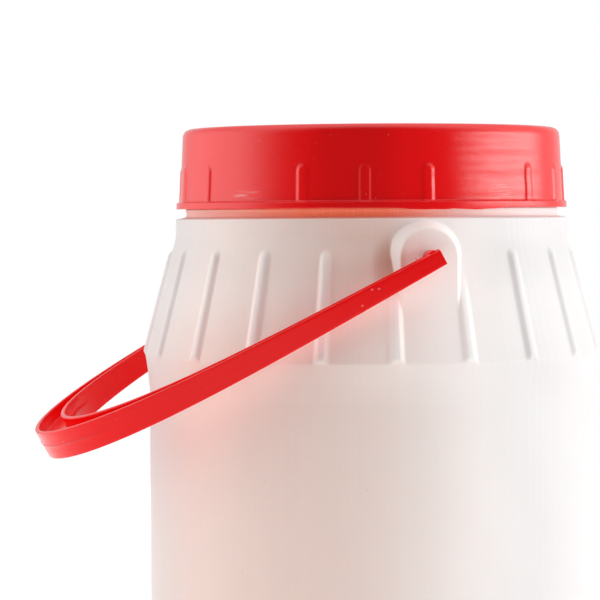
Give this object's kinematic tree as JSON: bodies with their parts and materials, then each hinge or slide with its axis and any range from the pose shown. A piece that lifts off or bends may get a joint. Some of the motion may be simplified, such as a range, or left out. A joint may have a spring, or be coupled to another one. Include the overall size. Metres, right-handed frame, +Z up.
{
  "type": "plastic food bucket",
  "caption": "Round plastic food bucket with a cone shoulder carrying raised bars, a ribbed screw lid and a swing handle.",
  "frame": {"origin": "centre of the foot, on the surface that the bucket stands on", "axes": "+Z up the bucket's axis, the handle's hinge line along Y, the handle hanging towards -X"},
  "size_m": [0.2896, 0.2496, 0.287],
  "materials": {
    "bucket": "satin translucent white",
    "lid": "glossy red",
    "handle": "glossy red"
  },
  "bodies": {
    "bucket": {"bucket_body": "bucket", "screw_lid": "lid"},
    "handle": {"bail_handle": "handle"}
  },
  "joints": [
    {"name": "handle_hinge", "type": "hinge", "parent": "bucket", "child": "handle", "pos_m": [0, 0, 0.2223], "axis": [0, 1, 0], "range_deg": [-6, 243.5]}
  ]
}
